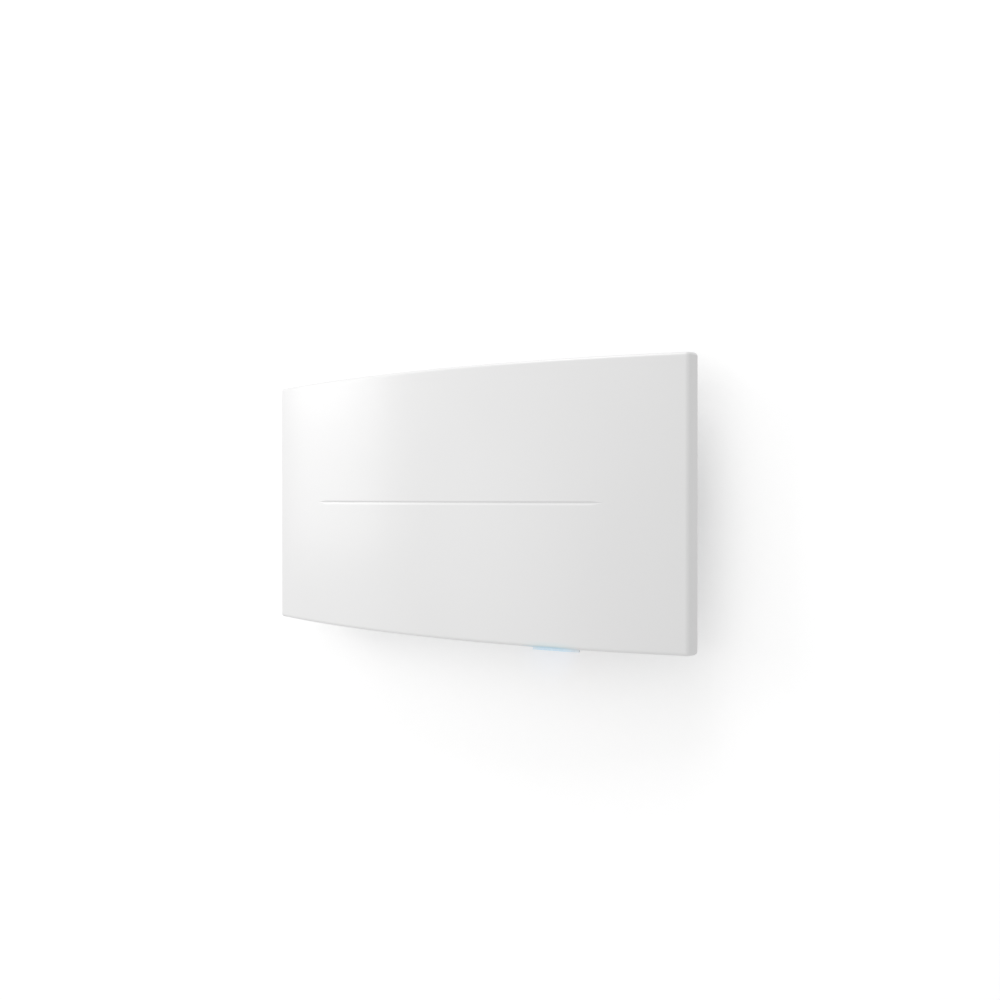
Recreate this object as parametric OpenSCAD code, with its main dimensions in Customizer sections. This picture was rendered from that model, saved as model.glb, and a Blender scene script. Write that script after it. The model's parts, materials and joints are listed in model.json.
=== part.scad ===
// Wall-mounted home battery unit: a bowed, creased cover over a sealed steel
// enclosure that holds three cell modules, six power modules and a wiring bay.
// Millimetres. X to the right, +Y into the wall, Z up. The origin is the centre
// of the wall bolts on the wall plane, so the whole unit lies at negative Y.

/* [Cover] */
// Width of the cover, and of the whole unit
unit_w = 980; // [970:2:1000]
// Height of the cover
unit_h = 550; // [546:1:560]
// Depth from the wall to the middle of the bowed front
unit_d = 188; // [188:1:192]
// How far the middle of the front stands forward of its sides
bow = 68; // [66:1:70]
// Depth of the cover's side walls
rim = 40; // [38:1:42]
// How far the walls spread outward from the front edge to the back
flare = 5.5; // [5:0.5:7.5]
// Thickness of the cover's skin
cover_t = 3; // [2.5:0.1:3.2]
// Rounding from the front face to the side, top and bottom walls
edge_r = 7; // [5:0.5:7.5]
// Corner radius seen from the front
corner_r = 8; // [6:0.5:10]

/* [Crease] */
// Length of the crease across the front
crease_l = 680; // [500:10:760]
// Depth of the crease
crease_depth = 2.2; // [1.2:0.1:2.6]
// Height of the crease above the middle of the cover
crease_z = 2; // [-6:1:8]

/* [Status light] */
// Distance of the status light from the middle
light_x = 248; // [246:1:250]
// Length of the status light
light_l = 90; // [60:2:96]

/* [Enclosure] */
// Sheet thickness of the enclosure
sheet = 2.5; // [2:0.1:2.5]
// Radius of the enclosure's corners
box_corner = 8; // [6:1:10]

/* [Wall bracket] */
// Sideways distance between the wall bolts
bolt_x = 406.4; // [400:0.2:410]
// Upright distance between the wall bolts
bolt_z = 300; // [296:1:302]
// Radius of the wall bolt holes
bolt_r = 4.5; // [3.5:0.5:5]

/* [Cells] */
// Cells in one module
cells_per_module = 8; // [8:1:8]
// Thickness of one cell
cell_t = 47; // [44:1:47]

/* [Handles] */
// Leg length of a lifting handle
bail_leg = 42; // [36:1:43]

/* [Hidden] */
$fn = 64;
hw = unit_w / 2;
hh = unit_h / 2;
front_r = (hw * hw + bow * bow) / (2 * bow);
axis_y = front_r - unit_d;
rim_y = -(unit_d - bow - rim);
hf = hh - flare;
flare_d = rim - 2;
slope = flare / flare_d;
tilt = atan(slope);
// centre line of the edge rounding: in the section, and in plan
edge_z = hf + edge_r * slope - edge_r / cos(tilt);
plan_a = hw - edge_r / cos(tilt) - (rim_y - 2) * slope;
plan_b = plan_a * slope - (front_r - unit_d);
edge_y = (-plan_b - sqrt(plan_b * plan_b - (1 + slope * slope)
    * (plan_a * plan_a + pow(front_r - unit_d, 2) - pow(front_r - edge_r, 2)))) / (1 + slope * slope);
edge_x = plan_a + slope * edge_y;
function skin_y(x) = axis_y - sqrt(front_r * front_r - x * x);
function at_x(x) = asin(x / front_r);

box_w = 850;
bx = box_w / 2;
box_z0 = -225;
box_z1 = 245;
box_back = -16;
box_front = -112;
flange = 20;
lid_y = box_front - 2;

split_x = 245;
split_z = -21;

edge_pts = concat(
    [for (x = [-413, -275, -138, 14, 138, 275, 413]) [x, 233]],
    [for (x = [-413, -255, -97, 61, 219]) [x, -213]],
    [for (z = [122, 10, -102]) [-413, z]],
    [for (z = [122, 10]) [413, z]]);
seam_pts = [[238.5, -160], [238.5, -90], [290, -14], [350, -14]];
bay_edge_pts = [[413, -120], [413, -213], [332, -213]];
bay_seam_pts = [[251.5, -195], [251.5, -110], [251.5, -28], [332, -28], [396, -28]];

module_x0 = -414;
end_t = 10;
cell_h = 148;
cell_d = 78;
cell_back = -20;
row_z = [-142, 11, 164];
cell_pitch = cell_t + 1;
stack_l = cells_per_module * cell_pitch - 1;
function cell_x(j) = module_x0 + end_t + cell_t / 2 + j * cell_pitch;

power_x = [for (i = [0:5]) 44 + 66 * i];
handle_px = bx + 8.5;
handle_pz = 30;
socket_x = bx + 30;
socket_z = 180;
knob_x = 200;
gear_y = -66;
hub_x = 308;
data_x = 372;
lock_x = 150;
vent_y = -100;
vent_at = [[-190, 1], [190, 1], [-215, -1], [25, -1]];

// ---------- helpers ----------

// Rounded rectangle, centred
module rrect(w, h, r) {
    square([w - 2 * r, h], center = true);
    square([w, h - 2 * r], center = true);
    for (sx = [-1, 1], sy = [-1, 1])
        translate([sx * (w / 2 - r), sy * (h / 2 - r)]) circle(r);
}

// A shape seen from the front (x, z), from y0 back to y1
module slab(y0, y1) {
    translate([0, y1, 0]) rotate([90, 0, 0]) linear_extrude(y1 - y0) children();
}

// A box from one corner to the other
module block(a, b) {
    translate(a) cube(b - a);
}

// A rod along Y
module rod_y(x, z, y0, y1, r) {
    translate([x, y1, z]) rotate([90, 0, 0]) cylinder(r = r, h = y1 - y0);
}

// A rod along Z
module rod_z(x, y, z0, z1, r) {
    translate([x, y, z0]) cylinder(r = r, h = z1 - z0);
}

// A round cable through a list of points, with ball-shaped turns
module cable(pts, r) {
    for (i = [0:len(pts) - 2]) {
        d = pts[i + 1] - pts[i];
        l = norm(d);
        translate(pts[i])
            rotate([0, acos(d[2] / l), atan2(d[1], d[0])])
                cylinder(r = r, h = l, $fn = 32);
        if (i > 0) translate(pts[i]) sphere(r = r * 1.03, $fn = 32);
    }
}

// A screw along Y with its head at the front and a hexagon socket in it
module screw_y(x, z, face, len, r, head_r, head_h) {
    difference() {
        union() {
            rod_y(x, z, face - head_h, face, head_r);
            rod_y(x, z, face, face + len, r);
        }
        translate([x, face - head_h * 0.4, z]) rotate([90, 0, 0])
            cylinder(r = head_r * 0.5, h = head_h, $fn = 6);
    }
}

// A screw along Z with its head below and a hexagon socket in it
module screw_z(x, y, face, len, r, head_r, head_h) {
    difference() {
        union() {
            rod_z(x, y, face - head_h, face, head_r);
            rod_z(x, y, face, face + len, r);
        }
        translate([x, y, face - head_h * 1.6])
            cylinder(r = head_r * 0.5, h = head_h * 1.2, $fn = 6);
    }
}

// A band turned about the upright axis of the bow, between two sideways
// positions: children are drawn as (distance behind the front skin, z)
module bowed(x0, x1) {
    a0 = at_x(x0);
    a1 = at_x(x1);
    translate([0, axis_y, 0]) rotate([0, 0, 270 + a0])
        rotate_extrude(angle = a1 - a0, $fn = 720)
            translate([front_r, 0]) mirror([1, 0]) children();
}

// ---------- cover ----------

// The cover's closed form with every outer face moved in by `inset`
module cover_form(inset, back) {
    e = edge_r - inset;
    c = corner_r - inset + 1;
    w = hw - inset;
    h = hh - inset;
    knee = inset * (1 / cos(tilt) - 1) / slope;
    ux = edge_x / (front_r - edge_r);
    uy = (edge_y - axis_y) / (front_r - edge_r);
    fy = edge_y - 0.12;
    tx = edge_x + e * cos(tilt);
    ty = fy - e * sin(tilt);
    // the three shapes cross at small angles instead of lying tangent
    intersection() {
        // bowed front, rounded into the spreading top and bottom
        bowed(-hw - 60, hw + 60) union() {
            for (s = [-1, 1]) translate([edge_r, s * edge_z]) circle(e);
            translate([inset, -edge_z]) square([190, 2 * edge_z]);
            polygon([[edge_r - e * sin(tilt), edge_z + e * cos(tilt)],
                [flare_d + knee, h], [inset + 190, h],
                [inset + 190, -h], [flare_d + knee, -h],
                [edge_r - e * sin(tilt), -edge_z - e * cos(tilt)]]);
        }
        // corners seen from the front
        slab(-unit_d - 20, back) rrect(2 * w + 0.8, 2 * h + 0.8, c);
        // plan, rounded from the front into the spreading sides
        translate([0, 0, -hh - 2]) linear_extrude(unit_h + 4) union() {
            polygon([[-w, back], [-w, rim_y - 2 + knee], [-tx, ty], [-edge_x, fy],
                [-edge_x - 90 * ux, fy + 90 * uy], [edge_x + 90 * ux, fy + 90 * uy],
                [edge_x, fy], [tx, ty], [w, rim_y - 2 + knee], [w, back]]);
            for (s = [-1, 1]) translate([s * edge_x, fy]) circle(e);
        }
    }
}

// The crease: a groove of even depth, steep above and shallow below
module crease_cut() {
    bowed(-crease_l / 2, crease_l / 2) translate([crease_depth, crease_z])
        polygon([[0, 0], [-8, 6.7], [-8, -20]]);
}

module front_cover() {
    color("white") difference() {
        union() {
            difference() {
                cover_form(0, rim_y);
                cover_form(cover_t, rim_y + 40);
            }
            intersection() {
                cover_form(1.5, rim_y);
                union() {
                    // upright stiffening ribs
                    for (x = [-320, -160, 0, 160, 320])
                        block([x - 1, skin_y(x) + 1, -hh], [x + 1, skin_y(x) + 11, hh]);
                    // level ribs and the thicker band behind the crease
                    for (z = [-130, 130])
                        bowed(-hw, hw) translate([1.2, z - 1]) square([9, 2]);
                    bowed(-crease_l / 2 - 30, crease_l / 2 + 30)
                        translate([1.2, crease_z - 14]) square([5.6, 26]);
                    // bosses for the push-in pins
                    for (sx = [-1, 1], sz = [-1, 1])
                        rod_y(sx * socket_x, sz * socket_z, skin_y(socket_x) + 1, -118, 9);
                }
            }
        }
        crease_cut();
        // slot of the status light, just behind the lower front edge
        bowed(light_x - light_l / 2, light_x + light_l / 2)
            translate([4, -hh - 2]) square([9, 12]);
        // service cut-out for conduits and the disconnect switch
        translate([0, 0, -hh - 2]) linear_extrude(8)
            translate([285, rim_y - 2]) rrect(250, 44, 10);
        // windows for the vent grilles
        for (p = vent_at)
            translate([p[0], vent_y, p[1] * hh]) cube([220, 26, 12], center = true);
    }
}

module light_pipe() {
    color("lightskyblue") {
        // lens, standing a little below the front edge
        bowed(light_x - light_l / 2 + 0.2, light_x + light_l / 2 - 0.2)
            translate([4.2, -hh]) square([8.6, flare + 4.8]);
        bowed(light_x - light_l / 2 + 0.2, light_x + light_l / 2 - 0.2) union() {
            translate([5.5, -hf + 4.3]) square([18.5, 3.1]);
            translate([15, -hf + 1.4]) square([9, 3.4]);
        }
        bowed(light_x - 30, light_x + 30)
            translate([18, -hf + 6.9]) square([6, 36.1 - flare]);
    }
}

module vent_grilles() {
    color("whitesmoke") for (p = vent_at)
        translate([p[0], vent_y, 0]) mirror([0, 0, p[1] < 0 ? 1 : 0]) difference() {
            union() {
                translate([0, 0, hh - cover_t / 2])
                    cube([219.6, 25.6, cover_t], center = true);
                translate([0, 0, hh - cover_t - 0.75])
                    cube([226, 30, 1.5], center = true);
            }
            for (i = [-11:11]) translate([i * 9.3, 0, hh])
                cube([3.8, 18, 14], center = true);
        }
}

module cover_pins() {
    color("dimgray") for (sx = [-1, 1], sz = [-1, 1]) {
        rod_y(sx * socket_x, sz * socket_z, -118, -100, 4);
        translate([sx * socket_x, -100, sz * socket_z]) rotate([-90, 0, 0])
            cylinder(r1 = 4, r2 = 2.6, h = 3);
    }
}

// ---------- wall bracket ----------

module bracket_hook_rail() {
    color("lightgray") difference() {
        union() {
            block([-360, -3, 120], [360, 0, 190]);
            block([-340, -13, 187], [340, -3, 190]);
            block([-340, -13, 190], [340, -10, 209]);
        }
        for (x = [-bolt_x / 2, 0, bolt_x / 2]) rod_y(x, bolt_z / 2, -4, 1, bolt_r);
    }
}

module bracket_lower_rail() {
    color("lightgray") difference() {
        union() {
            block([-360, -3, -190], [360, 0, -120]);
            for (s = [-1, 1]) {
                block([s * lock_x - 20, -3, -228], [s * lock_x + 20, 0, -190]);
                block([s * lock_x - 20, -42, -228], [s * lock_x + 20, -3, -225]);
            }
        }
        for (x = [-bolt_x / 2, 0, bolt_x / 2]) rod_y(x, -bolt_z / 2, -4, 1, bolt_r);
        for (s = [-1, 1]) rod_z(s * lock_x, -29, -230, -224, 3.4);
    }
}

module bracket_uprights() {
    color("lightgray") for (s = [-1, 1])
        block([s * 325 - 25, -3, -120], [s * 325 + 25, 0, 120]);
}

module lock_screws() {
    color("silver") for (s = [-1, 1]) screw_z(s * lock_x, -29, -228, 8, 3, 6, 4);
}

// ---------- enclosure ----------

module box2d(inset) {
    translate([0, (box_z0 + box_z1) / 2])
        rrect(box_w - 2 * inset, box_z1 - box_z0 - 2 * inset, box_corner - inset);
}

module rear_chassis() {
    color("gainsboro") difference() {
        slab(box_front, box_back) box2d(0);
        slab(box_front + sheet, box_back - sheet) box2d(sheet);
        slab(box_front - 1, box_front + sheet + 1)
            translate([0, (box_z0 + box_z1) / 2])
                square([box_w - 2 * sheet - 2 * flange,
                    box_z1 - box_z0 - 2 * sheet - 2 * flange], center = true);
        for (p = concat(edge_pts, bay_edge_pts))
            rod_y(p[0], p[1], box_front - 1, box_front + 4, 2.6);
        // gland plate opening and its screws
        translate([336, gear_y, box_z0 - 1]) linear_extrude(5) rrect(124, 56, 5);
        for (x = [268, 404], y = [-95, -37]) rod_z(x, y, box_z0 - 1, box_z0 + 4, 2.1);
        // disconnect switch shaft, lock screws, pressure vent, light bracket
        rod_z(knob_x, gear_y, box_z0 - 1, box_z0 + 4, 7);
        for (s = [-1, 1]) rod_z(s * lock_x, -29, box_z0 - 1, box_z0 + 4, 3.1);
        rod_z(-300, gear_y, box_z0 - 1, box_z0 + 4, 8);
        rod_z(246, -80, box_z0 - 1, box_z0 + 4, 2.1);
        // rivets of the hanging rail, bolts of the cell modules
        for (x = [-300:100:300]) rod_y(x, 172, box_back - 4, box_back + 1, 2.4);
        for (z = row_z, s = [-1, 1], x = [module_x0 + end_t / 2, module_x0 + end_t * 1.5 + stack_l])
            rod_y(x, z + s * 55, box_back - 4, box_back - 0.8, 3.1);
    }
}

module hanging_rail() {
    color("silver") difference() {
        union() {
            block([-320, -16, 157], [320, -14, 212]);
            block([-320, -14, 209], [320, -5.5, 212]);
            block([-320, -8.5, 192], [320, -5.5, 209]);
        }
        for (x = [-300:100:300]) rod_y(x, 172, -17, -13, 2.4);
    }
}

module hanging_rivets() {
    color("darkgray") for (x = [-300:100:300]) {
        rod_y(x, 172, -18.5, -14, 2.3);
        rod_y(x, 172, -14, -12.4, 4.2);
    }
}

module standoff_pads() {
    color("dimgray") for (s = [-1, 1])
        block([s * 280 - 30, -16, -178], [s * 280 + 30, -3, -132]);
}

module bay_divider() {
    color("silver") difference() {
        block([0, box_front + sheet, box_z0 + sheet], [2, box_back - sheet, box_z1 - sheet]);
        for (p = [[-106.5, -150], [-106.2, -206]])
            translate([-1, p[0], p[1]]) rotate([0, 90, 0]) cylinder(r = 4.2, h = 4);
        block([-1, box_front, -155], [3, -105, -145]);
        block([-1, box_front, -210.2], [3, -105, -201.8]);
        translate([-1, -60, -60]) rotate([0, 90, 0]) cylinder(r = 10, h = 4);
    }
}

module wiring_partition() {
    y1 = box_back - sheet;
    fy = box_front + sheet;
    color("silver") difference() {
        union() {
            block([244, fy, box_z0 + sheet], [246, y1, -20]);
            block([246, fy, -22], [bx - sheet, y1, -20]);
            block([233, box_front, -202.5], [257, fy, -9]);
            block([257, box_front, -33], [402.5, fy, -9]);
        }
        for (p = concat(seam_pts, bay_seam_pts))
            rod_y(p[0], p[1], box_front - 1, fy + 1, 2.6);
        rod_z(330, -48, -24, -18, 9);
    }
}

module lid_outline() {
    difference() {
        box2d(0);
        translate([split_x - 0.5, box_z0 - 10]) square([300, split_z + 0.5 - box_z0 + 10]);
    }
}

module enclosure_gasket() {
    color("black") slab(box_front - 2, box_front) difference() {
        box2d(0);
        difference() {
            translate([0, (box_z0 + box_z1) / 2])
                square([box_w - 45, box_z1 - box_z0 - 45], center = true);
            translate([233, box_z0]) square([24, -9 - box_z0]);
            translate([250, -33]) square([200, 24]);
        }
        for (p = concat(edge_pts, bay_edge_pts, seam_pts, bay_seam_pts))
            translate(p) circle(2.7);
    }
}

module enclosure_lid() {
    color("whitesmoke") difference() {
        union() {
            slab(lid_y - 2, lid_y) lid_outline();
            slab(lid_y - 7, lid_y - 2) translate([-85, 15]) rrect(600, 400, 24);
        }
        slab(lid_y - 5, lid_y + 1) translate([-85, 15]) rrect(596, 396, 22);
        for (p = concat(edge_pts, seam_pts)) rod_y(p[0], p[1], lid_y - 3, lid_y + 1, 2.7);
    }
}

module lid_screws() {
    color("silver") for (p = concat(edge_pts, seam_pts))
        screw_y(p[0], p[1], lid_y - 2, 12, 2.5, 4.7, 3);
}

module wiring_cover() {
    color("whitesmoke") difference() {
        union() {
            slab(lid_y - 2, lid_y) intersection() {
                box2d(0);
                translate([split_x + 0.5, box_z0 - 10]) square([300, split_z - 0.5 - box_z0 + 10]);
            }
            slab(lid_y - 6, lid_y - 2) translate([332, -120]) rrect(124, 140, 12);
        }
        slab(lid_y - 4, lid_y + 1) translate([332, -120]) rrect(120, 136, 10);
        for (p = concat(bay_edge_pts, bay_seam_pts))
            rod_y(p[0], p[1], lid_y - 3, lid_y + 1, 2.7);
    }
}

module wiring_cover_screws() {
    color("silver") for (p = concat(bay_edge_pts, bay_seam_pts))
        screw_y(p[0], p[1], lid_y - 2, 12, 2.5, 4.7, 3);
}

// ---------- battery ----------

module cell_row(zc) {
    for (j = [0:cells_per_module - 1]) translate([cell_x(j), 0, zc]) difference() {
        union() {
            translate([0, cell_back - cell_d / 2, -cell_h / 2])
                linear_extrude(cell_h) rrect(cell_t, cell_d, 3);
            for (s = [-1, 1])
                rod_y(0, s * 50, cell_back - cell_d - 3, cell_back - cell_d, 8);
        }
        slab(cell_back - cell_d - 1, cell_back - cell_d + 0.8) rrect(22, 12, 5);
    }
}

module cells_upper() { color("royalblue") cell_row(row_z[2]); }
module cells_middle() { color("royalblue") cell_row(row_z[1]); }
module cells_lower() { color("royalblue") cell_row(row_z[0]); }

module thermal_pads() {
    color("lightpink") for (z = row_z)
        block([module_x0 + end_t, cell_back, z - 70], [module_x0 + end_t + stack_l, box_back - sheet, z + 70]);
}

module module_end_plates() {
    color("silver") for (z = row_z, s = [0, 1])
        translate([module_x0 + s * (end_t + stack_l), 0, z]) difference() {
            block([0, cell_back - cell_d, -74], [end_t, cell_back, 74]);
            for (q = [-1, 1]) {
                rod_y(end_t / 2, q * 55, cell_back - cell_d - 1, cell_back + 1, 3.2);
                block([s == 0 ? -1 : 4, -86, q * 24 - 18], [s == 0 ? 6 : 11, -32, q * 24 + 18]);
            }
        }
}

module module_side_plates() {
    color("darkgray") for (z = row_z, s = [-1, 1])
        block([module_x0, -92, z + (s > 0 ? 74 : -75.2)],
            [module_x0 + 2 * end_t + stack_l, -28, z + (s > 0 ? 75.2 : -74)]);
}

module module_bolts() {
    color("silver") for (z = row_z, q = [-1, 1], x = [module_x0 + end_t / 2, module_x0 + end_t * 1.5 + stack_l])
        screw_y(x, z + q * 55, cell_back - cell_d, 80.8, 3, 4.9, 4.5);
}

module busbar_trays() {
    color("orange") for (z = row_z) slab(-101, -98) difference() {
        translate([module_x0 + end_t, z - 68]) square([stack_l, 136]);
        for (j = [0:cells_per_module - 1]) translate([cell_x(j), z]) {
            for (s = [-1, 1]) translate([0, s * 50]) circle(8.6);
            rrect(24, 14, 6);
        }
    }
}

module cell_busbars() {
    color("lightgray") slab(-103, -101) for (z = row_z) {
        for (j = [0:cells_per_module - 2])
            translate([(cell_x(j) + cell_x(j + 1)) / 2, z + (j % 2 == 0 ? 50 : -50)])
                rrect(cell_pitch + 20, 18, 4);
        for (j = [0, cells_per_module - 1])
            translate([cell_x(j), z - 50]) rrect(20, 18, 4);
    }
}

module cell_sense_boards() {
    x0 = module_x0 + end_t + 40;
    x1 = x0 + stack_l - 80;
    color("seagreen") for (z = row_z) {
        block([x0, -104.6, z - 15], [x1, -103, z + 15]);
        block([x0 + 8, -109, z - 10], [x0 + 30, -104.6, z + 8]);
        block([x1 - 34, -107.4, z - 9], [x1 - 16, -104.6, z + 9]);
        for (i = [0:4]) block([x0 + 60 + 36 * i, -106.2, z - 5], [x0 + 70 + 36 * i, -104.6, z + 5]);
    }
}

// Insulated bars from one cell module to the next
module module_links() {
    color("orangered") for (p = [[0, 2, 1], [cells_per_module - 1, 1, 0]]) {
        x = cell_x(p[0]);
        block([x - 8, -108, row_z[p[2]] - 58], [x + 8, -106, row_z[p[1]] - 42]);
        for (z = [row_z[p[2]] - 50, row_z[p[1]] - 50]) rod_y(x, z, -106, -103, 6);
    }
}

module dc_cable_positive() {
    x = cell_x(cells_per_module - 1);
    z = row_z[2] - 50;
    color("darkorange") {
        block([x - 9, -105, z - 7], [x + 9, -103, z + 7]);
        cable([[x + 3, -106.5, z], [-16, -106.5, z], [-16, -106.5, -150],
            [37, -106.5, -150], [37, -106.5, -172], [37, -96, -172]], 3.4);
    }
}

module dc_cable_negative() {
    x = cell_x(0);
    z = row_z[0] - 50;
    color("black") {
        block([x - 7, -105, z - 9], [x + 7, -103, z + 9]);
        cable([[x, -106.2, z - 3], [x, -106.2, -206], [95, -106.2, -206], [95, -96, -206]], 3.1);
    }
}

// ---------- power bay ----------

module contactors() {
    color("dimgray") for (p = [[12, -192], [70, -206]]) {
        block([p[0], -82, -216], [p[0] + 50, -22, -158]);
        block([p[0], -22, -220], [p[0] + 50, box_back - sheet, -154]);
        block([p[0] + 4, -88, -212], [p[0] + 46, -82, -186]);
        block([p[0] + 4, -88, -182], [p[0] + 46, -82, -162]);
        for (z = [-172, p[1]]) rod_y(p[0] + 25, z, -96, -82, 4);
    }
}

module dc_fuse() {
    color("ivory") {
        block([128, -36, -218], [160, box_back - sheet, -148]);
        rod_z(144, -62, -201, -165, 12);
        for (z = [-208, -158]) {
            block([136, -66, z - 7], [152, -58, z + 7]);
            block([138, -58, z - 5], [150, -36, z + 5]);
            rod_y(144, z, -96, -66, 4);
        }
        rod_z(144, -62, -208, -158, 5);
    }
}

module bms_board() {
    color("seagreen") {
        block([12, -47, -140], [166, -45, -32]);
        for (x = [18, 160], z = [-134, -38]) rod_y(x, z, -45, box_back - sheet, 3);
        block([20, -59, -74], [30, -47, -42]);
        block([36, -53, -110], [64, -47, -82]);
        block([76, -50, -104], [96, -47, -84]);
        block([110, -62, -130], [136, -47, -100]);
        block([110, -58, -58], [156, -47, -42]);
        for (x = [46, 62, 78]) rod_y(x, -60, -61, -47, 6);
    }
}

module power_modules() {
    color("slategray") for (x = power_x) difference() {
        union() {
            block([x - 28, -92, 14], [x + 28, -26, 222]);
            for (i = [-3:3]) block([x + i * 8 - 1.2, -100, 22], [x + i * 8 + 1.2, -92, 214]);
        }
        for (z = [24, 212]) block([x - 30, -30, z - 5], [x + 30, -25, z + 5]);
    }
}

module power_module_plugs() {
    color("black") for (x = power_x, y = [-80, -48]) {
        block([x - 11, y - 8, 0], [x + 11, y + 8, 14]);
        rod_z(x, y, -4.5, 0, 4);
    }
}

module module_rails() {
    color("silver") for (z = [24, 212])
        block([8, -30, z - 5], [416, box_back - sheet, z + 5]);
}

module dc_trunk_cable() {
    color("darkorange") {
        cable([[44, -80, -9], [374, -80, -9]], 4.5);
        cable([[214, -80, -150], [214, -80, -9]], 4.5);
        cable([[37, -96, -192], [37, -100, -192], [144, -100, -192],
            [144, -100, -208], [144, -96, -208]], 3);
        cable([[144, -96, -158], [144, -100, -158], [144, -100, -140],
            [186, -100, -140], [186, -80, -140], [186, -80, -150]], 3);
        cable([[95, -96, -172], [95, -100, -172], [95, -100, -130],
            [186, -100, -130], [186, -52, -130], [186, -52, -150]], 3);
    }
}

module ac_trunk_cable() {
    color("darkgray") {
        cable([[44, -48, -9], [374, -48, -9]], 4.5);
        cable([[330, -48, -9], [330, -48, -60]], 5.5);
    }
}

module trunk_grommet() {
    color("black") translate([330, -48, 0]) rotate_extrude() {
        translate([5.6, -24]) square([3.3, 6]);
        translate([5.6, -24]) square([6.4, 2]);
        translate([5.6, -20]) square([6.4, 2]);
    }
}

// ---------- wiring bay ----------

module terminal_block() {
    color("ivory") difference() {
        union() {
            block([270, -60, -96], [400, -24, -60]);
            block([262, -24, -84], [408, box_back - sheet, -72]);
        }
        for (i = [0:6]) translate([279 + 18.7 * i, 0, 0]) {
            rod_y(0, -70, -61, -50, 4);
            block([-6, -56, -97], [6, -44, -84]);
        }
    }
}

module ground_bar() {
    color("gold") difference() {
        union() {
            block([262, -40, -146], [334, -32, -134]);
            for (x = [268, 328]) rod_y(x, -140, -32, box_back - sheet, 4);
            for (i = [0:4]) rod_y(278 + 10 * i, -140, -43, -40, 3);
        }
        for (i = [0:4]) rod_z(278 + 10 * i, -36, -147, -133, 2.4);
    }
}

module data_port_board() {
    color("seagreen") difference() {
        union() {
            block([350, -34, -176], [416, -32.4, -112]);
            for (x = [355, 411], z = [-171, -117]) rod_y(x, z, -32.4, box_back - sheet, 2.5);
            for (x = [364, 384]) block([x, -48, -172], [x + 16, -34, -154]);
            block([360, -44, -136], [406, -34, -124]);
        }
        for (x = [364, 384]) block([x + 2, -46, -173], [x + 14, -37, -160]);
    }
}

module gland_plate() {
    color("silver") difference() {
        translate([336, gear_y, box_z0 - 3]) linear_extrude(3) rrect(148, 70, 6);
        rod_z(hub_x, gear_y, box_z0 - 4, box_z0 + 1, 14.1);
        rod_z(data_x, gear_y, box_z0 - 4, box_z0 + 1, 11.1);
        for (x = [268, 404], y = [-95, -37]) rod_z(x, y, box_z0 - 4, box_z0 + 1, 2.2);
    }
}

module gland_plate_screws() {
    color("silver") for (x = [268, 404], y = [-95, -37])
        screw_z(x, y, box_z0 - 3, 9, 2, 4, 2.6);
}

// A conduit hub: its foot passes the gland plate, its mouth opens downward
module hub(x, outer, bore, foot, throat) {
    difference() {
        union() {
            rod_z(x, gear_y, -256, box_z0 - 3, outer);
            rod_z(x, gear_y, -240, -234, outer + 1.6);
            rod_z(x, gear_y, box_z0 - 3, -214, foot);
        }
        rod_z(x, gear_y, -257, -238, bore);
        rod_z(x, gear_y, -239, -213, throat);
    }
}

module conduit_hub_power() { color("silver") hub(hub_x, 17.4, 13.4, 14, 11.4); }
module conduit_hub_data() { color("silver") hub(data_x, 14.4, 10.7, 11, 8.8); }

module hub_locknuts() {
    color("silver") for (p = [[hub_x, 19, 14.1], [data_x, 15.6, 11.1]]) difference() {
        translate([p[0], gear_y, box_z0]) cylinder(r = p[1], h = 5, $fn = 6);
        rod_z(p[0], gear_y, box_z0 - 1, box_z0 + 6, p[2]);
    }
}

module pressure_vent() {
    color("black") difference() {
        union() {
            rod_z(-300, gear_y, -231, box_z0, 12);
            rod_z(-300, gear_y, box_z0, -218.5, 7.9);
        }
        rod_z(-300, gear_y, -229, -218, 5);
        for (a = [0:45:135]) translate([-300, gear_y, -228]) rotate([0, 0, a])
            cube([26, 2.4, 2], center = true);
    }
}

// ---------- disconnect switch ----------

module dc_switch_body() {
    color("dimgray") difference() {
        union() {
            block([172, -94, -221], [228, -38, -156]);
            block([174, -90, box_z0 + sheet], [226, -42, -221]);
            for (x = [186, 214], y = [-80, -52]) block([x - 9, y - 9, -156], [x + 9, y + 9, -150]);
        }
        rod_z(knob_x, gear_y, box_z0, -210, 5.05);
    }
}

module dc_switch_plate() {
    color("gold") difference() {
        translate([knob_x, gear_y, -227]) linear_extrude(2) rrect(54, 50, 5);
        rod_z(knob_x, gear_y, -228, -224, 7);
        for (s = [-1, 1], q = [-1, 1]) rod_z(knob_x + s * 22, gear_y + q * 20, -228, -224, 1.8);
    }
}

module dc_switch_knob() {
    color("red") union() {
        rod_z(knob_x, gear_y, -233, -228.4, 21);
        rod_z(knob_x, gear_y, -228.4, -212, 5);
        block([knob_x - 5, gear_y - 19, -251], [knob_x + 5, gear_y + 19, -233]);
        rod_z(knob_x, gear_y, -245, -233, 11);
    }
}

// ---------- handles, cover fixings, status light ----------

module handle_mounts() {
    color("silver") for (s = [-1, 1], y = [-95.5, -32.5]) difference() {
        union() {
            block([s > 0 ? bx : -handle_px, y - 6, handle_pz - 8],
                [s > 0 ? handle_px : -bx, y + 6, handle_pz + 8]);
            rod_y(s * handle_px, handle_pz, y - 6, y + 6, 8);
            block([s > 0 ? bx : -bx - 3, y - 6, handle_pz - 22],
                [s > 0 ? bx + 3 : -bx, y + 6, handle_pz + 22]);
        }
        rod_y(s * handle_px, handle_pz, y - 7, y + 7, 4.05);
    }
}

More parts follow.
